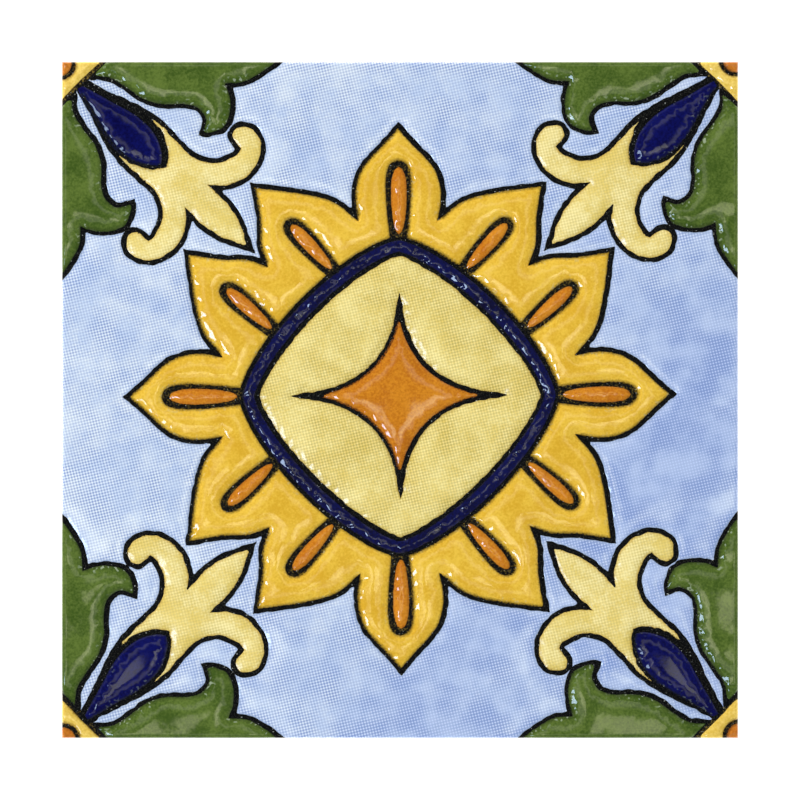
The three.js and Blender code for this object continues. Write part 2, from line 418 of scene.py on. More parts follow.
def drop(shape, tip, foot, half_width):
    """A drop, from the side of its shape: a head that narrows to its foot."""
    along = np.subtract(tip, foot)
    length = np.linalg.norm(along)
    side = [(across * half_width, up * length) for across, up in shape]
    right = outline([side])
    left = (right[1:] * [-1, 1])[::-1]
    foot_ends = np.array([side[-1], (-side[-1][0], side[-1][1])])
    lean = math.atan2(along[1], along[0]) - math.pi / 2
    return turned(np.concatenate([right, foot_ends, left]), lean) + foot


def drops(shape):
    slanted = drop(shape, **SLANTED_DROP)
    group = [drop(shape, **STRAIGHT_DROP), slanted, swapped(slanted)]
    return [turn for one in group for turn in four_turns(one)]


def printed(points):
    """Where points of the ideal pattern land on the tile."""
    x, y = points[:, 0], points[:, 1]
    rise = PRINT_RISE * np.cos(math.pi * y / SIDE)
    return np.stack([x - PRINT_TURN * y, y + PRINT_TURN * x + rise], 1)


def counter_clockwise(loop):
    x, y = loop[:, 0], loop[:, 1]
    area = np.sum(x * np.roll(y, -1) - np.roll(x, -1) * y)
    return loop if area > 0 else loop[::-1]


def on_tile(loops):
    """Loops as they are printed, all of them turning the same way."""
    return [counter_clockwise(printed(loop)) for loop in loops]


class Border:
    """Closed loops, and how far points lie from them."""

    def __init__(self, loops):
        self.starts = np.concatenate(loops)
        self.ends = np.concatenate([np.roll(loop, -1, 0) for loop in loops])
        self.before = np.concatenate([
            np.roll(np.arange(len(loop)), 1) + offset
            for loop, offset in zip(loops, np.cumsum([0] + [len(loop) for loop in loops]))
        ])
        self.tree = kdtree.KDTree(len(self.starts))
        for i, (x, y) in enumerate(self.starts):
            self.tree.insert((x, y, 0), i)
        self.tree.balance()

    def to_side(self, points, sides):
        start, along = self.starts[sides], self.ends[sides] - self.starts[sides]
        squared = np.maximum(np.sum(along ** 2, 1), MERGED ** 2)
        t = np.clip(np.sum((points - start) * along, 1) / squared, 0, 1)
        return np.linalg.norm(points - start - t[:, None] * along, axis=1)

    def distance(self, points):
        if not len(points):
            return np.zeros(0)
        nearest = np.array([self.tree.find((x, y, 0))[1] for x, y in points.tolist()])
        return np.minimum(
            self.to_side(points, nearest), self.to_side(points, self.before[nearest])
        )


def inside(points, loop):
    """Which points lie within a closed loop. They are tested in bands of like height."""
    result = np.zeros(len(points), bool)
    start, end = loop, np.roll(loop, -1, 0)
    low, high = np.minimum(start[:, 1], end[:, 1]), np.maximum(start[:, 1], end[:, 1])
    order = np.argsort(points[:, 1])
    for band in np.array_split(order, len(points) // BAND_SIZE + 1):
        if not len(band):
            continue
        x, y = points[band, 0][:, None], points[band, 1][:, None]
        near = (high > y.min()) & (low <= y.max())
        a, b = start[near], end[near]
        crossing = (a[:, 1] > y) != (b[:, 1] > y)
        rise = np.where(b[:, 1] == a[:, 1], MERGED, b[:, 1] - a[:, 1])
        reached = a[:, 0] + (y - a[:, 1]) / rise * (b[:, 0] - a[:, 0])
        result[band] = np.sum(crossing & (x < reached), 1) % 2 == 1
    return result


def shifted(loop, distance):
    """A loop's points moved inwards, or outwards for a distance below zero. Corners stay sharp."""
    along = np.roll(loop, -1, 0) - loop
    leaving = np.stack([-along[:, 1], along[:, 0]], 1) / np.linalg.norm(along, axis=1)[:, None]
    inward = leaving + np.roll(leaving, 1, 0)
    inward /= np.maximum(np.linalg.norm(inward, axis=1), MERGED)[:, None]
    spread = np.maximum(np.sum(inward * leaving, 1), 1 / SHARPEST)
    return loop + (distance / spread)[:, None] * inward


def moved_in(loop, distance):
    """A loop moved inwards, without the points that came too near to it on the way."""
    moved = shifted(loop, distance)
    return moved[Border([loop]).distance(moved) > KEPT_DISTANCE * abs(distance)]


def square_distance(points):
    """How far points lie in from the tile's edges."""
    return HALF - np.max(np.abs(points), 1)


class Region:
    """A part of the tile's square: within one loop, or all of it, less some holes."""

    def __init__(self, outer=None, holes=()):
        self.outer = outer
        self.holes = list(holes)
        self.loops = ([] if outer is None else [outer]) + self.holes

    def holds(self, points):
        result = square_distance(points) > 0
        if self.outer is not None:
            result &= inside(points, self.outer)
        for hole in self.holes:
            result &= ~inside(points, hole)
        return result

    def triangles(self):
        """The points and triangles of a mesh that is finest along the region's borders."""
        border = Border(self.loops)
        corners = HALF * np.array([(-1, -1), (1, -1), (1, 1), (-1, 1)])
        edge = np.concatenate([
            evenly(np.array([corners[i], corners[(i + 1) % 4]]), EDGE_STEP)[:-1]
            for i in range(4)
        ])
        free = []
        for row in ROWS:
            for loop in self.loops:
                sign = 1 if loop is self.outer else -1
                moved = shifted(loop, sign * row)
                free.append(moved[border.distance(moved) > CROWDED * row])
        for row in EDGE_ROWS:
            free.append(edge * (1 - row / HALF))
        rows = np.concatenate(free)
        room = np.minimum(border.distance(rows), EDGE_ALLOWANCE * square_distance(rows))
        rows = rows[self.holds(rows) & (room > CROWDED * ROWS[0])]
        grid = self.grid()
        spare = np.minimum(
            border.distance(grid) - ROWS[-1],
            square_distance(grid) - EDGE_ROWS[-1],
        )
        grid = grid[(spare > FIELD_STEP / 2) & self.holds(grid)]
        fixed = [*self.loops, edge]
        sides, count = [], 0
        for loop in fixed:
            sides += [(count + i, count + (i + 1) % len(loop)) for i in range(len(loop))]
            count += len(loop)
        points = np.concatenate([*fixed, rows, grid])
        flat = [Vector(point) for point in points]
        made, _, faces, _, _, _ = delaunay_2d_cdt(flat, sides, [], 0, MERGED, False)
        points = np.array(made)
        faces = np.array(faces)
        faces = faces[self.holds(points[faces].mean(1))]
        used, faces = np.unique(faces, return_inverse=True)
        return points[used], faces.reshape(-1, 3)

    def grid(self):
        """Points in even, staggered rows over the region."""
        low, high = np.full(2, -HALF), np.full(2, HALF)
        if self.outer is not None:
            low, high = self.outer.min(0), self.outer.max(0)
        lift = FIELD_STEP * math.sqrt(3) / 2
        lines = []
        for row, y in enumerate(np.arange(low[1], high[1], lift)):
            x = np.arange(low[0] + FIELD_STEP / 2 * (row % 2), high[0], FIELD_STEP)
            lines.append(np.stack([x, np.full(len(x), y)], 1))
        return np.concatenate(lines)


def border_points(count, faces):
    """Which points lie on the border of a mesh."""
    sides = np.sort(np.concatenate([faces[:, [0, 1]], faces[:, [1, 2]], faces[:, [2, 0]]]), 1)
    unique, uses = np.unique(sides, axis=0, return_counts=True)
    result = np.zeros(count, bool)
    result[unique[uses == 1].ravel()] = True
    return result


class Waves:
    """A smooth random height, from plane waves of many directions."""

    def __init__(self, random, lengths):
        length = random.uniform(*lengths, WAVE_COUNT)
        direction = random.uniform(0, 2 * math.pi, WAVE_COUNT)
        self.vectors = 2 * math.pi / length * np.stack([np.cos(direction), np.sin(direction)])
        self.phases = random.uniform(0, 2 * math.pi, WAVE_COUNT)

    def __call__(self, points):
        return np.cos(points @ self.vectors + self.phases).sum(1) * math.sqrt(2 / WAVE_COUNT)


def liquid_surface(points, faces, pinned, pinned_height, height, reach):
    """The heights of a liquid that stands at a height and is pinned lower along its border.

    They solve reach squared times curvature = depth below the height, by conjugate gradients.
    """
    corners = points[faces]
    mass = np.zeros(len(points))
    first, second, weights = [], [], []
    for k in range(3):
        apex, a, b = corners[:, k], corners[:, (k + 1) % 3], corners[:, (k + 2) % 3]
        u, v = a - apex, b - apex
        cross = np.abs(u[:, 0] * v[:, 1] - u[:, 1] * v[:, 0])
        weight = reach ** 2 * np.sum(u * v, 1) / np.maximum(cross, TINY) / 2
        first.append(faces[:, (k + 1) % 3])
        second.append(faces[:, (k + 2) % 3])
        weights.append(weight)
        mass += np.bincount(faces[:, k], cross / 6, len(points))
    first, second, weights = map(np.concatenate, (first, second, weights))
    stiff = np.bincount(first, weights, len(points)) + np.bincount(second, weights, len(points))

    def applied(z):
        pulls = np.bincount(first, weights * z[second], len(points))
        pulls += np.bincount(second, weights * z[first], len(points))
        return (stiff + mass) * z - pulls

    loose = ~pinned
    z = np.where(pinned, pinned_height, height)
    scale = np.where(loose, 1 / np.maximum(stiff + mass, TINY), 0)
    rest = np.where(loose, mass * height - applied(z), 0)
    step = scale * rest
    energy = rest @ step
    for _ in range(MOST_ROUNDS):
        pushed = np.where(loose, applied(step), 0)
        amount = energy / (step @ pushed)
        z = z + amount * step
        rest = rest - amount * pushed
        if np.abs(rest).max() < SETTLED:
            break
        ready = scale * rest
        energy, old = rest @ ready, energy
        step = ready + energy / old * step
    return z


def deselect():
    if bpy.context.object and bpy.context.object.mode != "OBJECT":
        bpy.ops.object.mode_set(mode="OBJECT")
    bpy.ops.object.select_all(action="DESELECT")


def pick(piece):
    deselect()
    piece.select_set(True)
    bpy.context.view_layer.objects.active = piece


class Field:
    """The surface of one piece of glaze or line, gathered from its regions."""

    def __init__(self, name, foot, top, reach, broad, grain, dimple=0.0, bead=0.0):
        self.name, self.foot, self.top, self.reach = name, foot, top, reach
        self.broad, self.grain, self.dimple, self.bead = broad, grain, dimple, bead
        self.points, self.faces, self.loops, self.count = [], [], [], 0
        random = np.random.default_rng([WAVE_SEED, *name.encode()])
        self.broad_waves = Waves(random, BROAD_WAVES)
        self.edge_waves = Waves(random, EDGE_WAVES)
        self.dimples = Waves(random, DIMPLE_WAVES)
        self.beads = Waves(random, BEAD_WAVES)
        self.run_waves = Waves(random, RUN_WAVES)

    def add(self, region):
        """Lets the liquid settle on a region, and adds its surface to the piece."""
        flat, faces = region.triangles()
        edge = square_distance(flat)
        pinned = border_points(len(flat), faces) & (edge > UNPINNED_EDGE)
        foot = self.foot + self.grain * self.edge_waves(flat)
        top = self.top + self.broad * self.broad_waves(flat)
        inward = Border(region.loops).distance(flat)
        top += self.dimple * np.exp(-inward / DIMPLE_REACH) * self.dimples(flat)
        z = liquid_surface(flat, faces, pinned, foot, top, self.reach)
        shoulder = np.exp(-((inward - BEAD_PLACE) / BEAD_SPREAD) ** 2)
        shoulder *= np.clip(inward / BEAD_START, 0, 1)
        z += self.bead * shoulder * self.beads(flat)
        inset = np.clip(EDGE_ROUND - edge, 0, EDGE_ROUND)
        z -= EDGE_ROUND - np.sqrt(EDGE_ROUND ** 2 - inset ** 2)
        self.points.append(np.column_stack([flat, z]))
        self.faces.append(faces + self.count)
        self.loops += region.loops
        self.count += len(flat)

    def solid(self, line_loops, material, caps):
        """Closes the surface with a skirt and a bottom, and makes it a piece of the tile."""
        mesh = bpy.data.meshes.new(self.name)
        points = np.concatenate(self.points)
        mesh.from_pydata((points * MM).tolist(), [], np.concatenate(self.faces).tolist())
        piece = bpy.data.objects.new(self.name, mesh)
        bpy.context.scene.collection.objects.link(piece)
        pick(piece)
        bpy.ops.object.mode_set(mode="EDIT")
        bpy.ops.mesh.select_mode(type="EDGE")
        bpy.ops.mesh.select_all(action="DESELECT")
        bpy.ops.mesh.select_non_manifold(
            extend=False, use_wire=False, use_boundary=True, use_multi_face=False,
            use_non_contiguous=False, use_verts=False,
        )
        bpy.ops.mesh.extrude_edges_move()
        bpy.ops.transform.resize(value=(1, 1, 0))
        bpy.ops.mesh.extrude_edges_move()
        bpy.ops.transform.translate(value=(0, 0, -RIM_DROP * MM))
        bpy.ops.mesh.fill(use_beauty=False)
        bpy.ops.mesh.select_all(action="SELECT")
        bpy.ops.mesh.normals_make_consistent(inside=False)
        bpy.ops.object.mode_set(mode="OBJECT")
        self.lower_skirt(mesh, len(points))
        bpy.ops.object.shade_smooth_by_angle(angle=math.radians(GLAZE_CREASE))
        self.mark_distances(mesh, line_loops, caps)
        mesh.materials.append(material)
        return belongs(piece)

    def lower_skirt(self, mesh, first):
        """Sets the lower rim: level inside the tile, and run down unevenly over its edges.

        The rim turns in under the tile's edge to a level bottom inside the clay.
        """
        places = places_of(mesh)
        rim = places[first:]
        flat = rim[:, :2] / MM
        turned_in = rim[:, 2] < rim[:, 2].max() - RIM_DROP * MM / 2
        on_edge = square_distance(flat) < ON_EDGE
        run = np.clip(EDGE_RUN + EDGE_RUN_VARIES * self.run_waves(flat), 0, 2 * EDGE_RUN)
        rim[:, 2] = (POOL_BOTTOM - np.where(on_edge, run, 0)) * MM
        rim[turned_in, 2] = (POOL_BOTTOM - RIM_DROP) * MM
        rim[turned_in & on_edge, :2] *= 1 - RIM_INSET / HALF
        mesh.vertices.foreach_set("co", places.ravel())
        mesh.update()

    def mark_distances(self, mesh, line_loops, caps):
        """Writes how far each point lies from the lines, and from the piece's own border."""
        flat = places_of(mesh)[:, :2] / MM
        covered = CAP_COVER * np.exp(-(caps.distance(flat) / CAP_COVER_REACH) ** 2)
        covered *= (flat[:, 0] > 0) | (flat[:, 1] > 0)
        distance = mesh.attributes.new("line_mm", "FLOAT", "POINT")
        distance.data.foreach_set("value", Border(line_loops).distance(flat) + covered)
        border = mesh.attributes.new("border_mm", "FLOAT", "POINT")
        border.data.foreach_set("value", Border(self.loops).distance(flat))


def places_of(mesh):
    """The places of a mesh's points, in metres."""
    places = np.zeros(3 * len(mesh.vertices))
    mesh.vertices.foreach_get("co", places)
    return places.reshape(-1, 3)


def belongs(piece):
    """Ties a piece to the tile, whose look it takes over."""
    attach(piece, "root")
    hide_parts("tile")
    return piece


class Wire:
    """The output of a shader node. Arithmetic on it adds Math nodes."""

    def __init__(self, finish, socket):
        self.finish, self.socket = finish, socket

    def math(self, operation, *values):
        inputs = dict(enumerate(values))
        return self.finish.node("Math", {"operation": operation}, inputs)

    def __add__(self, other):
        return self.math("ADD", self, other)

    def __sub__(self, other):
        return self.math("SUBTRACT", self, other)

    def __rsub__(self, other):
        return self.math("SUBTRACT", other, self)

    def __mul__(self, other):
        return self.math("MULTIPLY", self, other)

    def cosine(self):
        return self.math("COSINE", self)

    def rising(self, low, high):
        """0 below low, 1 above high, and a smooth rise between them."""
        settings = {"interpolation_type": "SMOOTHSTEP"}
        inputs = {"Value": self, "From Min": low, "From Max": high}
        return self.finish.node("MapRange", settings, inputs)


class Finish:
    """A material and the nodes that make it."""

    def __init__(self, name):
        self.material = bpy.data.materials.new(name)
        self.material.use_nodes = True
        self.tree = self.material.node_tree
        self.tree.nodes.clear()
        self.place = self.node("TexCoord", output="Object")

    def node(self, kind, settings=None, inputs=None, output=0):
        """A new node's output. Wires are linked to its inputs, and other values are set."""
        made = self.tree.nodes.new("ShaderNode" + kind)
        for name, value in (settings or {}).items():
            setattr(made, name, value)
        for name, value in (inputs or {}).items():
            if isinstance(value, Wire):
                self.tree.links.new(value.socket, made.inputs[name])
            else:
                made.inputs[name].default_value = value
        return Wire(self, made.outputs[output])

    def noise(self, length, detail=2.0, roughness=0.5):
        """Soft random values around 0.5 whose patches are a length in millimetres."""
        inputs = {"Vector": self.place, "Scale": 1 / (length * MM), "Detail": detail,
                  "Roughness": roughness}
        return self.node("TexNoise", {}, inputs)

    def along(self, degrees, unit):
        """The place along a direction on the tile's face, in units of some millimetres."""
        angle = math.radians(degrees)
        direction = (math.cos(angle) / (unit * MM), math.sin(angle) / (unit * MM), 0)
        inputs = {0: self.place, 1: direction}
        return self.node("VectorMath", {"operation": "DOT_PRODUCT"}, inputs, output="Value")

    def height(self):
        """The height above the tile's back in millimetres."""
        inputs = {0: self.place, 1: (0, 0, 1 / MM)}
        return self.node("VectorMath", {"operation": "DOT_PRODUCT"}, inputs, output="Value")

    def blend(self, amount, *colours):
        """A colour between two others, which are wires or display values."""
        first, second = (
            colour if isinstance(colour, Wire) else linear(*colour) for colour in colours
        )
        return self.node("Mix", {"data_type": "RGBA"}, {0: amount, 6: first, 7: second}, output=2)

    def line_distance(self):
        """Millimetres from the middle of the nearest black line."""
        return self.node("Attribute", {"attribute_name": "line_mm"}, output="Fac")

    def border_distance(self):
        """Millimetres from the border of the piece itself."""
        return self.node("Attribute", {"attribute_name": "border_mm"}, output="Fac")

    def bump(self, height):
        """The normal of a surface with a height in millimetres."""
        return self.node("Bump", {}, {"Height": height, "Strength": 1.0, "Distance": MM})

    def principled(self, colour, roughness, normal, **constants):
        names = {"Base Color": colour, "Roughness": roughness, "Normal": normal}
        names.update({name.replace("_", " "): value for name, value in constants.items()})
        return self.node("BsdfPrincipled", {}, names)

    def made_of(self, shader):
        """The material, once its shader is there."""
        output = self.tree.nodes.new("ShaderNodeOutputMaterial")
        self.tree.links.new(shader.socket, output.inputs["Surface"])
        return self.material


def linear(red, green, blue):
    """A colour from its display values, as a shader takes it."""
    return tuple(
        (value / 255 / 12.92 if value <= 10 else ((value / 255 + 0.055) / 1.055) ** 2.4)
        for value in (red, green, blue)
    ) + (1.0,)


def print_mesh(f):
    """1 in the middle of the print's small squares, 0 where its threads cross."""
    turn = 2 * math.pi
    across = (f.along(MESH_TURN, MESH_PITCH) * turn).cosine()
    up = (f.along(MESH_TURN + 90, MESH_PITCH) * turn).cosine()
    return (across + up) * 0.25 + 0.5


def shade_drift(f):
    """0 at the upper left of the tile, and up to 1 towards its lower right."""
    clouds = f.noise(CLOUD_LENGTH, detail=2) * 1.2 - 0.1
    return (f.along(DRIFT_TURN, DRIFT_DISTANCE) * 0.55 + clouds).rising(0, 1.4)


def line_black(f, stain=None, run_in=0.42):
    """The matt black of the contour lines, with pale grains and painted glints. A stain tints it
    where glaze ran.
    """
    grain = f.noise(BLACK_GRAIN_LENGTH, detail=2, roughness=0.7)
    colour = f.blend(grain.rising(0.48, 0.76), (0, 0, 3), (60, 60, 54))
    if stain:
        run = f.noise(STAIN_LENGTH, detail=2, roughness=0.65) + f.line_distance() * run_in
        colour = f.blend(run.rising(0.54, 0.74), colour, stain)
    # Painted highlights: pale specks that stand for light glinting off the grain of the black.
    painted_glint = f.noise(GLINT_SPECK_LENGTH, detail=0).rising(0.78, 0.85)
    colour = f.blend(painted_glint * 0.8, colour, (184, 186, 182))
    height = f.noise(GRAIN_LENGTH, detail=3, roughness=0.6) * GRAIN_HEIGHT
    roughness = f.noise(1.5) * 0.2 + 0.5
    return f.principled(colour, roughness, f.bump(height), Specular_IOR_Level=LINE_SHINE)


def mottled(f, pale, deep, mottle):
    """A glaze's colour, deeper and paler in patches with a fine grain."""
    patches = f.noise(PATCH_LENGTH, detail=3)
    grain = f.noise(SPRINKLE_LENGTH, detail=1)
    amount = (patches - 0.5) * (2.2 * mottle) + (grain - 0.5) * 1.3 + 0.5
    return f.blend(amount.rising(0, 1), pale, deep)


def painted_bubble_glints(f, colour, distance, bubble_glints):
    """Groups of pale dots along the lines: painted glints of the bubbles in a glaze."""
    # The pale dots are painted highlights, not the bubbles' own colour.
    glint = f.noise(BUBBLE_GLINT_LENGTH, detail=0).rising(0.64, 0.74)
    glint = glint * (1 - distance.rising(*GLINT_BAND))
    groups = f.noise(GLINT_GROUP_LENGTH, detail=1).rising(0.42, 0.58)
    return f.blend(glint * groups * bubble_glints, colour, (186, 200, 176))


def glazed(name, pale, deep, stain, rim=LINE_HALF, thin_reach=0.7, gloss=0.065, ripple=0.012,
           mesh=None, mottle=0.5, thinning=0.75, shine=0.5, bubble_glints=0, shade=None,
           peel=PEEL_HEIGHT):
    """A glaze that thins out over the black line, as deep as its rim lies from the line's middle.

    The stain is its colour where it is thin. A mesh, which has its threads' colour and strength,
    makes it a printed ground, and a shade deepens it towards the tile's lower right.
    """
    f = Finish(name)
    colour = mottled(f, pale, deep, mottle)
    distance = f.line_distance()
    jag = (f.noise(JAG_LENGTH, detail=2, roughness=0.7) - 0.5) * JAG_WIDTH
    if shade:
        drift = shade_drift(f)
        colour = f.blend(drift, colour, shade)
    if mesh:
        weave = print_mesh(f)
        jag = jag + (weave - 0.5) * MESH_JAG
        if shade:
            weave = weave - drift * MESH_SHADE
        faded = f.noise(MESH_FADE_LENGTH, detail=2).rising(0.25, 0.7) * 0.5 + 0.5
        threads = weave.rising(0.95, 0.05) * faded * f.height().rising(*PRINT_ENDS)
        colour = f.blend(threads * mesh["strength"], colour, mesh["thread"])
    thin = 1 - (distance + jag * 1.4).rising(rim, rim + thin_reach)
    colour = f.blend(thin * thinning, colour, stain)
    # Painted highlights: pale dots for light glinting off bubbles near the lines.
    if bubble_glints:
        colour = painted_bubble_glints(f, colour, distance, bubble_glints)
    shown = (distance + jag).rising(rim + LINE_EDGE[0], rim + LINE_EDGE[1])
    black = 1 - shown * (f.border_distance() + jag * 0.3).rising(*BORDER_EDGE)
    near = 1 - distance.rising(*RIPPLE_BAND)
    ripples = f.noise(RIPPLE_LENGTH, detail=1) * near * ripple
    relief = f.noise(PEEL_LENGTH, detail=1) * peel + ripples
    roughness = f.noise(GLOSS_LENGTH) * GLOSS_VARIES + (gloss - GLOSS_VARIES / 2)
    glaze = f.principled(colour, roughness, f.bump(relief), IOR=GLAZE_IOR,
                         Specular_IOR_Level=shine)
    line = line_black(f, stain)
    return f.made_of(f.node("MixShader", {}, {0: black, 1: glaze, 2: line}))


def blue_print():
    return glazed(
        "blue_print", (233, 241, 252), (206, 221, 247), (160, 178, 214),
        rim=0.52, gloss=0.11, mottle=0.9, shade=(204, 220, 255),
        mesh={"thread": (122, 146, 208), "strength": 0.95},
    )


def cream_print():
    return glazed(
        "cream_print", (251, 234, 160), (234, 208, 112), (192, 164, 84),
        rim=0.52, gloss=0.2, ripple=0.03, mottle=0.7,
        mesh={"thread": (178, 156, 76), "strength": 0.85},
    )


def lily_cream():
    return glazed(
        "lily_cream", (251, 235, 168), (234, 208, 112), (204, 172, 88),
        rim=0.52, gloss=0.2, ripple=0.03, mottle=1.1,
        mesh={"thread": (196, 172, 92), "strength": 0.65},
    )


def amber_yellow():
    return glazed(
        "amber_yellow", (241, 198, 72), (220, 170, 44), (112, 88, 22),
        rim=0.5, mottle=0.7, bubble_glints=0.2,
    )


def star_orange():
    return glazed(
        "orange_glaze", (218, 140, 34), (184, 102, 14), (120, 66, 16),
        rim=0.62, thinning=0.3,
    )


def lens_orange():
    return glazed(
        "lens_orange", (220, 144, 38), (192, 108, 16), (120, 68, 20),
        rim=0.08, thinning=0.3,
    )


def eye_orange():
    return glazed(
        "eye_orange", (214, 132, 44), (184, 102, 22), (96, 56, 18), rim=0.35,
    )


def band_cobalt():
    return glazed(
        "cobalt_glaze", (4, 12, 80), (0, 0, 44), (1, 2, 24),
        rim=0.3, thin_reach=0.4, ripple=0.03, shine=0.4,
    )


def bud_cobalt():
    return glazed(
        "bud_cobalt", (8, 14, 92), (0, 0, 56), (10, 16, 48),
        rim=0.35, ripple=0.004, shine=0.26, bubble_glints=0.12, peel=0.002,
    )


def leaf_green():
    return glazed(
        "leaf_green", (96, 117, 50), (60, 84, 26), (40, 56, 18),
        rim=0.34, thin_reach=1.1, ripple=0.06, mottle=0.7, shine=0.4, bubble_glints=0.5,
    )


def cap_yellow():
    return glazed(
        "cap_yellow", (246, 214, 112), (224, 184, 72), (120, 88, 28), rim=0.45,
    )


def contour_black(name, stain=None):
    f = Finish(name)
    return f.made_of(line_black(f, stain, run_in=0.06))


def fired_clay():
    """Pale unglazed clay with patches and fine pores."""
    f = Finish("fired_clay")
    patches = f.noise(9, detail=4)
    colour = f.blend(patches.rising(0.3, 0.7), (214, 202, 184), (194, 178, 156))
    pores = f.noise(0.5, detail=2).rising(0.66, 0.74)
    colour = f.blend(pores * 0.6, colour, (168, 150, 130))
    height = f.noise(0.8, detail=4) * 0.07 - pores * 0.05
    return f.made_of(f.principled(colour, f.noise(2) * 0.1 + 0.8, f.bump(height)))


def floor_white():
    """The floor's white, which glows a little so that no shadow greys it."""
    f = Finish("floor_white")
    colour = f.blend(f.noise(120).rising(0.3, 0.7), (250, 250, 250), (247, 247, 247))
    glow = {"Emission_Color": (1, 1, 1, 1), "Emission_Strength": FLOOR_GLOW}
    roughness, relief = f.noise(60) * 0.05 + 0.75, f.bump(f.noise(3) * 0.002)
    return f.made_of(f.principled(colour, roughness, relief, **glow))


def rounded(piece, width):
    """Rounds all the edges of a piece."""
    bevel = piece.modifiers.new("edges", "BEVEL")
    bevel.width = width * MM
    bevel.segments = BEVEL_SEGMENTS
    bpy.ops.object.modifier_apply(modifier=bevel.name)


def body():
    """The pressed clay body: rounded edges, and keying grooves in its back."""
    deselect()
    side = (SIDE - 2 * BODY_SETBACK) * MM
    bpy.ops.mesh.primitive_cube_add(size=1, location=(0, 0, CLAY_FACE * MM / 2))
    piece = bpy.context.object
    piece.name = piece.data.name = "clay_body"
    piece.dimensions = (side, side, CLAY_FACE * MM)
    bpy.ops.object.transform_apply(location=True, rotation=True, scale=True)
    rounded(piece, BODY_BEVEL)
    cutter = groove_cutter()
    pick(piece)
    cut = piece.modifiers.new("grooves", "BOOLEAN")
    cut.operation = "DIFFERENCE"
    cut.object = cutter
    bpy.ops.object.modifier_apply(modifier=cut.name)
    bpy.data.objects.remove(cutter)
    bpy.ops.object.shade_smooth_by_angle(angle=math.radians(CLAY_CREASE))
    piece.data.materials.append(fired_clay())
    belongs(piece)


def groove_cutter():
    """A row of bars with rounded ends and edges, in one mesh."""
    deselect()
    length = SIDE - 2 * GROOVE_END_MARGIN
    left = -(GROOVE_COUNT - 1) / 2 * GROOVE_PITCH
    bpy.ops.mesh.primitive_cube_add(size=1, location=(left * MM, 0, 0))
    bar = bpy.context.object
    bar.dimensions = (GROOVE_WIDTH * MM, length * MM, 2 * GROOVE_DEPTH * MM)
    bpy.ops.object.transform_apply(location=True, rotation=True, scale=True)
    rounded(bar, GROOVE_BEVEL)
    array = bar.modifiers.new("row", "ARRAY")
    array.count = GROOVE_COUNT
    array.use_relative_offset = False
    array.use_constant_offset = True
    array.constant_offset_displace = (GROOVE_PITCH * MM, 0, 0)
    bpy.ops.object.modifier_apply(modifier=array.name)
    return bar


class Pattern:
    """The outlines of the print, along the middles of its black lines."""

    def __init__(self):
        leaf = outline(LEAF_STROKES)
        self.petals = on_tile([flower()])
        self.ring = on_tile([superellipse(RING_OUTER, RING_OUTER_POWER)])
        self.diamond = on_tile([superellipse(RING_INNER, RING_INNER_POWER)])
        self.stars = on_tile([star()])
        self.drops = on_tile(drops(DROP_SIDE))
        self.lenses = on_tile(drops(LENS_SIDE))
        self.lilies = on_tile(at_corners(mirrored_outline(LILY_STROKES)))
        self.buds = on_tile(at_corners(mirrored_outline(BUD_STROKES)))
        self.leaves = on_tile(at_corners(leaf) + at_corners(swapped(leaf)))
        self.caps = on_tile(at_corners(outline(CAP_STROKES)))
        self.eyes = on_tile(at_corners(circle(EYE_LINE_RADIUS)))
        self.cap_border = Border(self.caps)


def overlapping(loops, side=WITHIN):
    """The borders of raised glaze within or around loops."""
    return [moved_in(loop, side * OVERLAP) + SHIFT for loop in loops]


def flush(loops, side=WITHIN):
    """The borders of a ground's glaze within or around loops."""
    return [moved_in(loop, side * FLUSH) for loop in loops]


def pool(name, surface, regions, lines, material, pattern):
    """One piece of glaze or line, over all of its regions."""
    field = Field(name, **surface)
    for region in regions:
        field.add(region)
    field.solid(lines, material, pattern.cap_border)


def blue_ground(p):
    lines = p.petals + p.lilies + p.leaves + p.caps
    regions = [Region(None, flush(lines, AROUND))]
    pool("blue_ground", BLUE_SURFACE, regions, lines, blue_print(), p)


def cream_diamond(p):
    regions = [Region(flush(p.diamond)[0], flush(p.stars, AROUND))]
    lines = p.diamond + p.stars
    pool("cream_diamond", CREAM_SURFACE, regions, lines, cream_print(), p)


def petals(p):
    regions = [Region(overlapping(p.petals)[0], overlapping(p.ring + p.drops, AROUND))]
    lines = p.petals + p.ring + p.drops
    pool("petals", RAISED_SURFACE, regions, lines, amber_yellow(), p)


def diamond_band(p):
    regions = [Region(overlapping(p.ring)[0], overlapping(p.diamond, AROUND))]
    lines = p.ring + p.diamond
    pool("diamond_band", BAND_SURFACE, regions, lines, band_cobalt(), p)


def star_and_drops(p):
    stars = [Region(loop) for loop in overlapping(p.stars)]
    pool("star", RAISED_SURFACE, stars, p.stars, star_orange(), p)
    lenses = [Region(loop) for loop in p.lenses]
    pool("drops", RAISED_SURFACE, lenses, p.lenses, lens_orange(), p)


def lilies(p):
    regions = [Region(lily, [bud]) for lily, bud in zip(flush(p.lilies), flush(p.buds, AROUND))]
    lines = p.lilies + p.buds
    pool("lilies", LILY_SURFACE, regions, lines, lily_cream(), p)


def buds(p):
    regions = [Region(moved_in(bud, OVERLAP) + shift) for bud, shift in zip(p.buds, BUD_SHIFTS)]
    pool("buds", BUD_SURFACE, regions, p.buds, bud_cobalt(), p)


def leaves(p):
    regions = [Region(loop) for loop in overlapping(p.leaves)]
    pool("leaves", RAISED_SURFACE, regions, p.leaves, leaf_green(), p)


def caps(p):
    """The yellow caps in the tile's corners and the orange eyes in them."""
    lines = p.caps + p.eyes
    holes = overlapping(p.eyes, AROUND)
    regions = [Region(cap, [eye]) for cap, eye in zip(overlapping(p.caps), holes)]
    pool("caps", RAISED_SURFACE, regions, lines, cap_yellow(), p)
    eyes = [Region(loop) for loop in overlapping(p.eyes)]
    pool("cap_eyes", RAISED_SURFACE, eyes, p.eyes, eye_orange(), p)


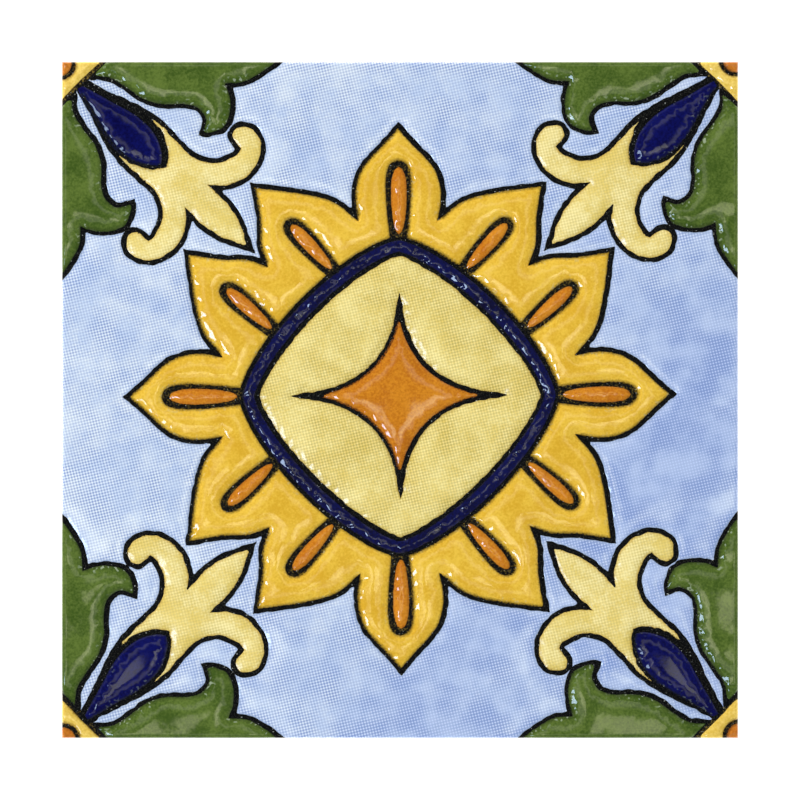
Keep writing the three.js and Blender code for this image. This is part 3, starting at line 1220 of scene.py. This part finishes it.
def contour(name, loops, finish, p, inner=None):
    """A black line along loops. Its inner borders may be others than its own width gives."""
    inner = inner or [moved_in(loop, LINE_WIDE) for loop in loops]
    outer = [moved_in(loop, -LINE_WIDE) for loop in loops]
    regions = [Region(border, [hole]) for border, hole in zip(outer, inner)]
    pool(name, LINE_SURFACE, regions, loops, finish, p)


def contours(p):
    """All the black lines. Glaze has stained those of the drops and the caps olive."""
    black = contour_black("matt_black")
    olive_black = contour_black("olive_black", (120, 100, 44))
    in_drops = [moved_in(lens, LINE_HIDDEN) for lens in p.lenses]
    in_buds = [moved_in(bud, BUD_LINE_INNER) for bud in p.buds]
    contour("flower_line", p.petals, black, p)
    contour("diamond_lines", p.ring + p.diamond, black, p)
    contour("star_line", p.stars, black, p)
    contour("drop_lines", p.drops, olive_black, p, in_drops)
    contour("lily_lines", p.lilies, black, p)
    contour("bud_lines", p.buds, black, p, in_buds)
    contour("leaf_lines", p.leaves, black, p)
    contour("cap_lines", p.caps + p.eyes, olive_black, p)


def glazes():
    """All the pools of glaze and the black lines between them."""
    pattern = Pattern()
    for pools in (blue_ground, cream_diamond, petals, diamond_band, star_and_drops, lilies,
                  buds, leaves, caps, contours):
        pools(pattern)


def camera():
    """Straight above the tile, at the height where the frame's width fits the photograph's."""
    data = bpy.data.cameras.new("camera")
    data.lens = CAMERA_LENS
    data.sensor_width = CAMERA_SENSOR
    distance = FRAME_WIDTH * CAMERA_LENS / CAMERA_SENSOR
    seen_from = bpy.data.objects.new("camera", data)
    seen_from.location = (0, 0, (FACE + distance) * MM)
    bpy.context.scene.collection.objects.link(seen_from)
    bpy.context.scene.camera = seen_from


def panel(name, place, size, radiance, colour, mirrored):
    """A lit rectangle that faces the tile. Its place and size are metres."""
    data = bpy.data.lights.new(name, "AREA")
    data.shape = "RECTANGLE"
    data.size, data.size_y = size
    data.energy = radiance * math.pi * size[0] * size[1]
    data.color = colour
    light = bpy.data.objects.new(name, data)
    light.location = place
    light.rotation_euler = (-Vector(place)).to_track_quat("-Z", "Y").to_euler()
    light.visible_camera = False
    light.visible_glossy = mirrored
    bpy.context.scene.collection.objects.link(light)


def toward(azimuth, zenith, distance):
    """A place in metres, in a direction from the middle of the tile."""
    a, z = math.radians(azimuth), math.radians(zenith)
    return (distance * math.sin(z) * math.cos(a), distance * math.sin(z) * math.sin(a),
            distance * math.cos(z))


def lights():
    for name, (azimuth, zenith, distance, size, radiance, colour, mirrored) in LIGHTS.items():
        panel(name, toward(azimuth, zenith, distance), size, radiance, colour, mirrored)


def world():
    """A room around the tile. What it reflects in the shoulders of the glaze draws thin lines."""
    made = bpy.data.worlds.new("studio")
    made.use_nodes = True
    tree = made.node_tree
    tree.nodes.clear()
    place = tree.nodes.new("ShaderNodeTexCoord")
    split = tree.nodes.new("ShaderNodeSeparateXYZ")
    levels = tree.nodes.new("ShaderNodeFloatCurve")
    sky = tree.nodes.new("ShaderNodeBackground")
    output = tree.nodes.new("ShaderNodeOutputWorld")
    curve = levels.mapping.curves[0]
    brightest = max(level for _, level in ROOM)
    while len(curve.points) < len(ROOM):
        curve.points.new(0.5, 0.5)
    for point, (height, level) in zip(curve.points, ROOM):
        point.location = (height, level / brightest)
        point.handle_type = "VECTOR"
    levels.mapping.update()
    strength = tree.nodes.new("ShaderNodeMath")
    strength.operation = "MULTIPLY"
    strength.inputs[1].default_value = brightest
    tree.links.new(place.outputs["Generated"], split.inputs[0])
    tree.links.new(split.outputs["Z"], levels.inputs["Value"])
    tree.links.new(levels.outputs[0], strength.inputs[0])
    tree.links.new(strength.outputs[0], sky.inputs["Strength"])
    sky.inputs["Color"].default_value = ROOM_COLOUR
    tree.links.new(sky.outputs[0], output.inputs[0])
    bpy.context.scene.world = made


def floor():
    deselect()
    bpy.ops.mesh.primitive_plane_add(size=FLOOR_SIDE)
    plane = bpy.context.object
    plane.name = plane.data.name = "floor"
    plane.data.materials.append(floor_white())


camera()
lights()
world()
floor()
body()
glazes()
bpy.context.scene.view_settings.view_transform = "Standard"
